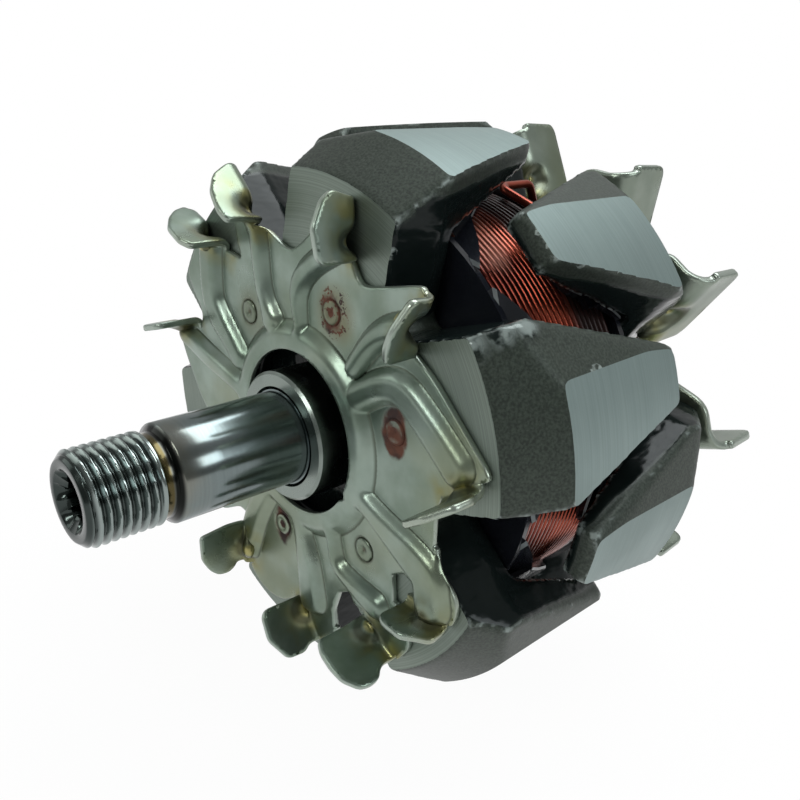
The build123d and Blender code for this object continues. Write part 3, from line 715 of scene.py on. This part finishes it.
front_arms = [
    (34.5, [(43.9, 45.5), (33.5, 59.5)],
     [(15.5, 15.5, 2.2), (20.0, 21.0, 2.4), (24.5, 23.8, 2.6), (31.5, 25.0, 3.0)], sloped_paddle),
    (62.3, [(45.2, 72.5), (33.4, 89.0), (32.5, 94.5)],
     [(1.3, 18.0, 1.7), (1.3, 20.5, 1.7), (0.7, 25.2, 2.2), (2.2, 28.8, 2.6), (6.1, 31.8, 2.3),
      (14.5, 36.0, 2.5)],
     round_paddle),
    (100.8, [(45.8, 114.8), (37.8, 119.5), (33.2, 120.2)],
     [(-7.2, 19.6, 3.0), (-8.4, 22.0, 2.3), (-9.9, 25.9, 2.3), (-10.3, 33.9, 2.5), (-12.0, 38.0, 2.5)],
     outer_paddle),
    (122.0, [(45.0, 140.5), (45.0, 145.0), (44.4, 149.0), (36.5, 153.8)],
     [(-19.0, 10.0, 3.1), (-21.9, 13.3, 3.1), (-25.6, 16.5, 3.6), (-28.0, 20.6, 3.5), (-27.5, 29.6, 3.6),
      (-26.5, 33, 3.6)],
     large_paddle),
    (156.7, [(44.5, 167.2), (41.9, 172.5), (39.6, 177.0), (37.0, 184.0), (34.0, 190.0)],
     [(-18.0, 3.6, 2.6), (-23.5, 5.3, 2.6), (-30.0, 7.1, 2.8), (-38.5, 10.3, 2.8)], paddle, 36.8, 38.1),
    (197.0, [(44.5, 206.0), (43.0, 221.0), (33.0, 226.0)],
     [(-19.5, -7.8, 3.4), (-36.2, -14.0, 3.4)], paddle),
    (231.6, [(43.0, 240.0), (44.2, 247.1), (42.6, 255.6)],
     [(-11.5, -15.5, 3.2), (-16.5, -22.5, 3.4), (-20.5, -31.5, 3.6)], tall_paddle, 35.6, 34.5),
    (264.6, [(44.5, 273.0), (42.5, 280.0), (31.5, 289.0)],
     [(-1.5, -17.0, 2.6), (-0.6, -21.4, 2.6), (0.9, -27.1, 3.5), (1.7, -34.3, 4.0)], paddle),
    (296.0, [(44.5, 304.5), (43.0, 312.5), (33.5, 315.5)],
     [(8.0, -15.5, 1.9), (8.8, -18.9, 1.9), (9.8, -23.9, 2.0), (15.0, -26.0, 2.5), (20.6, -27.5, 3.1)],
     wide_paddle),
    (319.0, [(44.8, 329.0), (43.9, 334.3), (36.0, 342.0), (34.4, 352.0)],
     [(15.5, -6.5, 2.7), (20.3, -9.0, 2.7), (24.2, -11.0, 3.2), (29.3, -13.4, 4.0), (33.5, -15.6, 4.2),
      (34.3, -20.2, 4.2)],
     low_paddle),
    (356.0, [(45.8, 366.5), (37.7, 388.0)],
     [(17.0, 11.0, 3.0), (22.6, 14.2, 3.0), (27.5, 15.0, 3.4), (33.4, 10.4, 3.5), (39.1, 5.3, 3.6)],
     paddle),
]
front_windows = [
    [(24.1, -19.6), (27.1, -18.1), (31.0, -19.6), (30.3, -21.4), (27.4, -24.6), (24.3, -25.5)],
    [(9.2, -30.1), (12.5, -28.4), (14.7, -31.6), (12.9, -34.0), (7.6, -39.1), (7.2, -35.0)],
    [(34.2, -3.6), (33.8, -10.5), (35.7, -11.2), (37.0, -2.6)],
]


def polar(r, angle):
    return (r * cos(radians(angle)), r * sin(radians(angle)))


def rounded(points, corner, sharp=(), closed=True):
    """The outline with each corner that isn't in sharp rounded off."""
    smooth_line = []
    for n, point in enumerate(points):
        here = np.array(point, float)
        if n in sharp or (not closed and n in (0, len(points) - 1)):
            smooth_line.append(here)
            continue
        ways = [np.array(points[n - 1], float) - here, np.array(points[(n + 1) % len(points)], float) - here]
        start, end = [here + way * min(corner / np.hypot(*way[:2]), 0.45) for way in ways]
        for t in (0, 0.2, 0.4, 0.6, 0.8, 1):
            smooth_line.append((1 - t) ** 2 * start + 2 * t * (1 - t) * here + t * t * end)
    return smooth_line


def divided(line, cell, closed=True):
    """The line with its long runs cut into steps of about one cell."""
    steps = []
    for n in range(len(line) if closed else len(line) - 1):
        start, end = np.array(line[n], float), np.array(line[(n + 1) % len(line)], float)
        count = max(1, ceil(np.hypot(*(end - start)) / cell - 0.001))
        steps += [start + (end - start) * k / count for k in range(count)]
    return steps if closed else steps + [np.array(line[-1], float)]


def inside(points, outlines):
    """Which points lie inside the first closed outline and outside the others."""
    x, y = points[:, 0], points[:, 1]
    found = []
    for outline in outlines:
        odd = np.zeros(len(points), bool)
        for (ax, ay), (bx, by) in zip(outline, outline[1:] + outline[:1]):
            if ay != by:
                odd ^= ((ay > y) != (by > y)) & (x < (bx - ax) * (y - ay) / (by - ay) + ax)
        found.append(odd)
    return found[0] & ~np.any(found[1:], axis=0) if len(found) > 1 else found[0]


def meshed(outlines, cell, fine=()):
    """Triangles that fill the first outline outside the others, with finer rings of points at given spots."""
    outlines = [[tuple(p) for p in line] for line in outlines]
    border, loops = [], []
    for line in outlines:
        loops += [(len(border) + n, len(border) + (n + 1) % len(line)) for n in range(len(line))]
        border += line
    edge_points = np.array(border)
    low, high = edge_points.min(0), edge_points.max(0)
    rows_of = []
    for number, y in enumerate(np.arange(low[1], high[1], cell * 0.866)):
        xs = np.arange(low[0] + (number % 2) * cell / 2, high[0], cell)
        rows_of.append(np.stack([xs, np.full(len(xs), y)], 1))
    field = np.concatenate(rows_of)
    for (sx, sy), reach, step in fine:
        field = field[np.hypot(field[:, 0] - sx, field[:, 1] - sy) > reach]
        extra = [(sx, sy)]
        for ring in np.arange(step, reach, step):
            count = max(6, round(2 * pi * ring / (step * 1.3)))
            turns = [2 * pi * n / count for n in range(count)]
            extra += [(sx + ring * cos(turn), sy + ring * sin(turn)) for turn in turns]
        field = np.concatenate([field, np.array(extra)])
    field = field[inside(field, outlines)]
    off_edge = [np.min(np.hypot(edge_points[:, 0] - x, edge_points[:, 1] - y)) for x, y in field]
    field = field[np.array(off_edge) > 0.55 * cell]
    points, _, faces, _, _, _ = delaunay_2d_cdt([Vector(p) for p in (*border, *field)], loops, [], 0, 1e-5)
    points = np.array([tuple(p) for p in points])
    middles = np.array([points[list(face)].mean(0) for face in faces])
    turned_faces = []
    for face, kept in zip(faces, inside(middles, outlines)):
        if kept:
            a, b, c = (points[n] for n in face)
            leftwards = (b[0] - a[0]) * (c[1] - a[1]) > (b[1] - a[1]) * (c[0] - a[0])
            turned_faces.append(face if leftwards else face[::-1])
    return points, turned_faces


def off_rib(points, line):
    """The distance of each point from a rib's foot; the line's third value is the foot's half width."""
    nearest = np.full(len(points), 1e9)
    for start, end in zip(line, line[1:]):
        run = (end - start)[:2]
        share = np.clip(((points - start[:2]) @ run) / (run @ run), 0, 1)
        half = start[2] + share * (end[2] - start[2])
        nearest = np.minimum(nearest, np.hypot(*(points - start[:2] - share[:, None] * run).T) - half)
    return nearest


def stepped(value, full, none):
    """1 below full and 0 above none, smoothly between."""
    share = np.clip((none - value) / (none - full), 0, 1)
    return share * share * (3 - 2 * share)


def hump(value, middle, width):
    return np.exp(-((value - middle) / width) ** 2)


def joined(places, marks, all_faces):
    """The patches as one sheet: points that share a place become one."""
    place = np.concatenate(places)
    around = [(i, j, k) for i in (0, -1, 1) for j in (0, -1, 1) for k in (0, -1, 1)]
    first_at, same, kept = {}, [], []
    for n, spot in enumerate(np.round(place / 0.01).astype(int)):
        near = (tuple(spot + np.array(step)) for step in around)
        twin = next((first_at[t] for t in near if t in first_at), None)
        if twin is None:
            twin = first_at[tuple(spot)] = len(kept)
            kept.append(n)
        same.append(twin)
    marks = {label: np.concatenate(patches_of)[kept] for label, patches_of in marks.items()}
    return place[kept], marks, np.array([[same[n] for n in face] for face in all_faces])


def thickened(name, place, faces, marks, sheet, face_y, forward):
    """The sheet given its thickness, with a rounded rim, as an object; its marks become point attributes."""
    corners = place[faces]
    face_ways = np.cross(corners[:, 1] - corners[:, 0], corners[:, 2] - corners[:, 0])
    upright_way = np.zeros_like(place)
    for k in range(3):
        np.add.at(upright_way, faces[:, k], face_ways)
    upright_way /= np.linalg.norm(upright_way, axis=1)[:, None]
    borders = dict.fromkeys((int(face[k]), int(face[(k + 1) % 3])) for face in faces for k in range(3))
    open_edges = [(a, b) for a, b in borders if (b, a) not in borders]
    outward = np.zeros_like(place)
    for a, b in open_edges:
        way = np.cross(place[b] - place[a], upright_way[a])
        for end in (a, b):
            outward[end] += way / max(np.linalg.norm(way), 1e-9)
    rim_points = sorted({n for edge in open_edges for n in edge})
    rim_number = {n: k for k, n in enumerate(rim_points)}
    way = outward[rim_points]
    way /= np.maximum(np.linalg.norm(way, axis=1), 1e-9)[:, None]
    count, rim_count = len(place), len(rim_points)
    layers = [place + upright_way * sheet / 2, place - upright_way * sheet / 2]
    for lift in (0.27, -0.27):
        layers.append(place[rim_points] + upright_way[rim_points] * sheet * lift + way * 0.17)
    solid_faces = [tuple(face) for face in faces.tolist()]
    solid_faces += [tuple(n + count for n in face[::-1]) for face in solid_faces]
    upper, lower = 2 * count, 2 * count + rim_count
    for a, b in open_edges:
        i, j = rim_number[a], rim_number[b]
        solid_faces += [(a, upper + i, upper + j, b), (upper + i, lower + i, lower + j, upper + j)]
        solid_faces.append((lower + i, a + count, b + count, lower + j))
    u, w, high = np.concatenate(layers).T
    x = u * cos(rotor_roll) - w * sin(rotor_roll)
    z = u * sin(rotor_roll) + w * cos(rotor_roll)
    mesh = bpy.data.meshes.new(name)
    ways_round = solid_faces if forward < 0 else [face[::-1] for face in solid_faces]
    mesh.from_pydata(np.column_stack([x, face_y + forward * high, z]) * mm, [], ways_round)
    mesh.validate()
    numbers = np.arange(2 * count + 2 * rim_count)
    whole_marks = {"rim": (numbers >= 2 * count).astype(float)}
    for label, values in marks.items():
        whole_marks[label] = np.concatenate([values, values, values[rim_points], values[rim_points]])
        if label in quiet_marks:
            whole_marks[label][numbers >= count] = quiet_marks[label]
    for label, values in whole_marks.items():
        mesh.attributes.new(label, "FLOAT", "POINT").data.foreach_set("value", values.astype(np.float32))
    mesh.polygons.foreach_set("use_smooth", np.ones(len(mesh.polygons), bool))
    return add_object(name, mesh)


def pressed_fan(name, arms, face_y, forward, sheet, bend_r, hole, windows, ring, rib, dent, spots, cell):
    """A fan pressed from one sheet. arms: root angle, rim, rib, outline, fold angle, root radius. ring: radius
    where its top ends, radius where it meets the sheet, height. rib: slope, height. dent: height, two radii.
    An arm without a fold angle and a root radius has 35 degrees and 37 mm."""
    neutral_r = bend_r - sheet / 2
    bend_length = neutral_r * pi / 2
    rim_line, sharp, folds = [], set(), []
    for root_angle, rim, rib_line, outline, *fold in arms:
        fold_angle, root_r = fold or (35.0, 37.0)
        a = radians(root_angle + fold_angle)
        along_fold, to_arm = np.array([cos(a), sin(a)]), np.array([-sin(a), cos(a)])
        start = np.array(polar(root_r, root_angle)) + bend_r * to_arm
        sharp |= {len(rim_line), len(rim_line) + 1}
        rim_line += [start + outline[0][0] * along_fold, start + outline[-1][0] * along_fold]
        rim_line += [polar(r, angle) for r, angle in rim]
        folds.append((start, along_fold, to_arm, outline, rounded(rib_line, 4.0, closed=False)))
    ring_top, ring_foot, ring_height = ring
    rib_slope, rib_height = rib
    dent_height, dent_along, dent_over = dent

    def raised(points):
        left = 1 - stepped(np.hypot(*points.T), ring_top, ring_foot) * ring_height / rib_height
        for fold in folds:
            left = left * (1 - stepped(off_rib(points, fold[4]), -rib_slope, 0))
        return rib_height * (1 - left)

    def marked(relief, dents, tint):
        quiet = {label: np.full(len(relief), number) for label, number in quiet_marks.items()}
        return quiet | {"relief": relief / rib_height, "dent": dents, "fold_tint": tint}

    def from_fold(points, fold):
        start, along_fold, to_arm = fold[:3]
        return (points - start) @ along_fold, -((points - start) @ to_arm)

    def dented(points, fold):
        start, along_fold, to_arm, outline, line = fold
        reach, over = from_fold(points, fold)
        middle = np.clip((line[-1][:2] - start) @ along_fold, outline[0][0] + 2.6, outline[-1][0] - 2.6)
        return np.exp(-((reach - middle) / dent_along) ** 2 - ((over - bend_length * 0.8) / dent_over) ** 2)

    outlines = [divided(rounded(rim_line, 3.0, sharp), cell), divided(hole, cell)]
    outlines += [divided(rounded(window, 0.8), cell) for window in windows]
    fine = [(polar(r, angle), 3.2, 0.34) for r, angle, rust, halo in spots]
    points, all_faces = meshed(outlines, cell, fine)
    relief, dents, tint = raised(points), sum(dented(points, fold) for fold in folds), np.zeros(len(points))
    for fold in folds:
        reach, over = from_fold(points, fold)
        near = stepped(np.abs(reach - 4.6), 4.5, 7.5) * stepped(np.abs(over - 1.2), 1.0, 6.0)
        tint = np.maximum(tint, near)
    sheet_marks = marked(relief, dents, tint)
    height = relief + dent_height * dents
    for r, angle, rust, halo in spots:
        off_spot = points - polar(r, angle)
        away = np.hypot(*off_spot.T)
        height += 0.24 * hump(away, 1.5, 0.4) - 0.28 * hump(away, 2.3, 0.36) - 0.35 * hump(away, 0, 0.6)
        rusty = rust * stepped(np.hypot(off_spot[:, 0], 0.66 * off_spot[:, 1]), 1.3, 4.6)
        haloed = halo * stepped(np.hypot(off_spot[:, 0] - 1.2, off_spot[:, 1]), 2.6, 6.4)
        sheet_marks["rust"] = np.maximum(sheet_marks["rust"], rusty)
        sheet_marks["halo"] = np.maximum(sheet_marks["halo"], haloed)
        sheet_marks["weld"] = np.minimum(sheet_marks["weld"], away)
    places = [np.column_stack([points, sheet / 2 + height])]
    marks = {label: [values] for label, values in sheet_marks.items()}
    total = len(points)
    for fold in folds:
        start, along_fold, to_arm, outline, line = fold
        upright = []
        for reach, high in outline:
            upright.append((reach, max(0.0, high - bend_r) + bend_length if high > 0 else 0.0))
        fold_edge = divided([upright[0], upright[-1]], cell, closed=False)
        free_edge = divided(rounded(upright, 0.9, closed=False), cell, closed=False)
        points, faces = meshed([fold_edge[::-1] + free_edge[1:-1]], cell)
        reach, over = points.T
        flat = start + reach[:, None] * along_fold - over[:, None] * to_arm
        fade_rib = stepped(over, bend_length * 0.55, bend_length * 1.7)
        fade_rest = stepped(over, 0.0, 2.0)
        own_rib = rib_height * stepped(off_rib(flat, line), -rib_slope, 0)
        relief = own_rib * fade_rib + (raised(flat) - own_rib) * fade_rest
        dents = sum(dented(flat, other) * (1.0 if other is fold else fade_rest) for other in folds)
        shift = relief + dent_height * dents
        turn = np.clip(over / neutral_r, 0, pi / 2)
        in_arm = bend_r - neutral_r * np.sin(turn) + shift * np.sin(turn)
        up = bend_r - neutral_r * np.cos(turn) + np.maximum(over - bend_length, 0) + shift * np.cos(turn)
        root = start - bend_r * to_arm
        places.append(np.column_stack([root + reach[:, None] * along_fold + in_arm[:, None] * to_arm, up]))
        tint = stepped(np.abs(over - 1.2), 2.4, 8.0) * stepped(np.abs(reach - 5), 3.5, 8.0)
        for label, values in marked(relief, dents, tint).items():
            marks[label].append(values)
        all_faces += [tuple(n + total for n in face[::-1]) for face in faces]
        total += len(points)
    place, marks, faces = joined(places, marks, all_faces)
    return thickened(name, place, faces, marks, sheet, face_y, forward)


def zinc_plate(name, pale, dull):
    """Zinc plating on pressed steel, tinted where it was folded and rusted where it was welded."""
    plate, tree, face = shader_tree(name)
    relief, dent, weld, rim, rust, halo, fold_tint = (
        add_node(tree, "ShaderNodeAttribute", attribute_name=label).outputs["Fac"]
        for label in ("relief", "dent", "weld", "rim", "rust", "halo", "fold_tint")
    )
    clouds_seen = noise_at(tree, 75, 4)
    tone = blend(ramp(clouds_seen, 0.32, 0.68), dull, pale)
    mottled = times(fold_tint, ramp(noise_at(tree, 190, 2), 0.35, 0.62))
    for share, colour in (
        (ramp(noise_at(tree, 42, 3), 0.46, 0.68, 0.0, 0.55), (0.185, 0.205, 0.115)),
        (times(mottled, 0.8), (0.20, 0.185, 0.06)),
        # Painted shade: a dark line along each rib's foot, in the crease.
        (times(band(relief, (0.0, 0.04), (0.06, 0.30)), 0.75), (0.045, 0.055, 0.035)),
        # Painted shade: a dark ring on the slopes round each dent.
        (times(band(dent, (0.12, 0.35), (0.60, 0.80)), 0.7), (0.050, 0.052, 0.028)),
        # The dent's middle is painted bright gold: the bend's yellow tint with a painted highlight.
        (ramp(dent, 0.70, 0.88, 0.0, 0.75), (0.42, 0.38, 0.15)),
        # Painted highlight: the sheet's cut edge is painted pale.
        (times(rim, 0.45), (0.46, 0.51, 0.46)),
        (times(band(weld, (1.7, 2.1), (2.5, 3.0)), 0.8), (0.055, 0.062, 0.045)),
        (ramp(weld, 0.4, 0.9, 0.75, 0.0), (0.07, 0.06, 0.045)),
        (times(halo, 0.6), (0.135, 0.115, 0.055)),
    ):
        tone = blend(share, tone, colour)
    speckle = times(ramp(noise_at(tree, 1500, 2), 0.52, 0.66, 0.0, 0.55), ramp(halo, 0.25, 0.8))
    rust_sum = plus(plus(rust, times(noise_at(tree, 420, 5), 0.8)), speckle)
    pale_ring = band(weld, (0.9, 1.2), (1.6, 1.9), 0.42)
    rust_share = ramp(maths("SUBTRACT", rust_sum, pale_ring), 0.72, 1.05)
    rust_tone = blend(ramp(noise_at(tree, 260, 4), 0.38, 0.64), (0.030, 0.014, 0.012), (0.125, 0.045, 0.026))
    shine = ramp(noise_at(tree, 130, 3), 0.3, 0.7, 0.27, 0.36)
    set_inputs(face, {
        "Base Color": blend(rust_share, tone, rust_tone),
        "Metallic": ramp(rust_share, 0, 1, 0.78, 0.15),
        "Roughness": plus(shine, times(rust_share, 0.45)),
    })
    bumped(face, plus(noise_at(tree, 1100, 2), times(clouds_seen, 1.5)), 0.10, 0.00008)
    return plate


hole_edge = []
for angle in np.arange(0, 360, 2.5):
    off_notch = (angle - 327.5) / 3.0
    hole_edge.append(polar(15.55 + 0.9 * 2.718 ** (-off_notch * off_notch), angle))
front_pressing = pressed_fan(
    "front_pressing", front_arms, 6.3, -1, 1.2, 2.4, hole_edge, front_windows,
    ring=(17.7, 20.8, 1.9), rib=(2.0, 1.9), dent=(1.9, 2.2, 2.7), spots=weld_spots, cell=0.52,
)
front_pressing.data.materials.append(zinc_plate("front_zinc", (0.285, 0.35, 0.305), (0.155, 0.205, 0.16)))
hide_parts("front_fan")
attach(front_pressing, "root")

# Rear fan: pressed the same way from thicker sheet, with a low rib to each of its eleven tall blades, which
# reach out to the claws' diameter and are dented across the fold to stiffen them.
blade = [(0, 0), (0.6, 11.4), (2.0, 12.6), (16.8, 13.2), (18.2, 12.4), (18.6, 3.0), (17.6, 0.8), (16.6, 0)]
rear_roots = [19.0, 47.9, 80.3, 114.0, 145.0, 179.0, 210.0, 244.0, 275.0, 309.0, 343.1]
rear_hole = [polar(20.0, angle) for angle in np.arange(0, 360, 2.5)]
rear_arms = []
for root_angle, next_root in zip(rear_roots, rear_roots[1:] + [rear_roots[0] + 360]):
    rim = [(47.8, root_angle + 21), (33.5, next_root - 3)]
    rib_way = [(*polar(r, root_angle + turn), 3.2) for r, turn in ((24.5, 9), (37.0, 9.5), (43.0, 3.5))]
    rear_arms.append((root_angle, rim, rib_way, blade, 33.0, 36.0))
rear_pressing = pressed_fan(
    "rear_pressing", rear_arms, 62.6, 1, 1.5, 4.4, rear_hole, [],
    ring=(21.6, 23.4, 0.5), rib=(2.1, 1.0), dent=(1.7, 2.6, 3.2), spots=[], cell=0.75,
)
rear_pressing.data.materials.append(zinc_plate("rear_zinc", (0.26, 0.30, 0.25), (0.17, 0.205, 0.165)))
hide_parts("rear_fan")
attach(rear_pressing, "root")
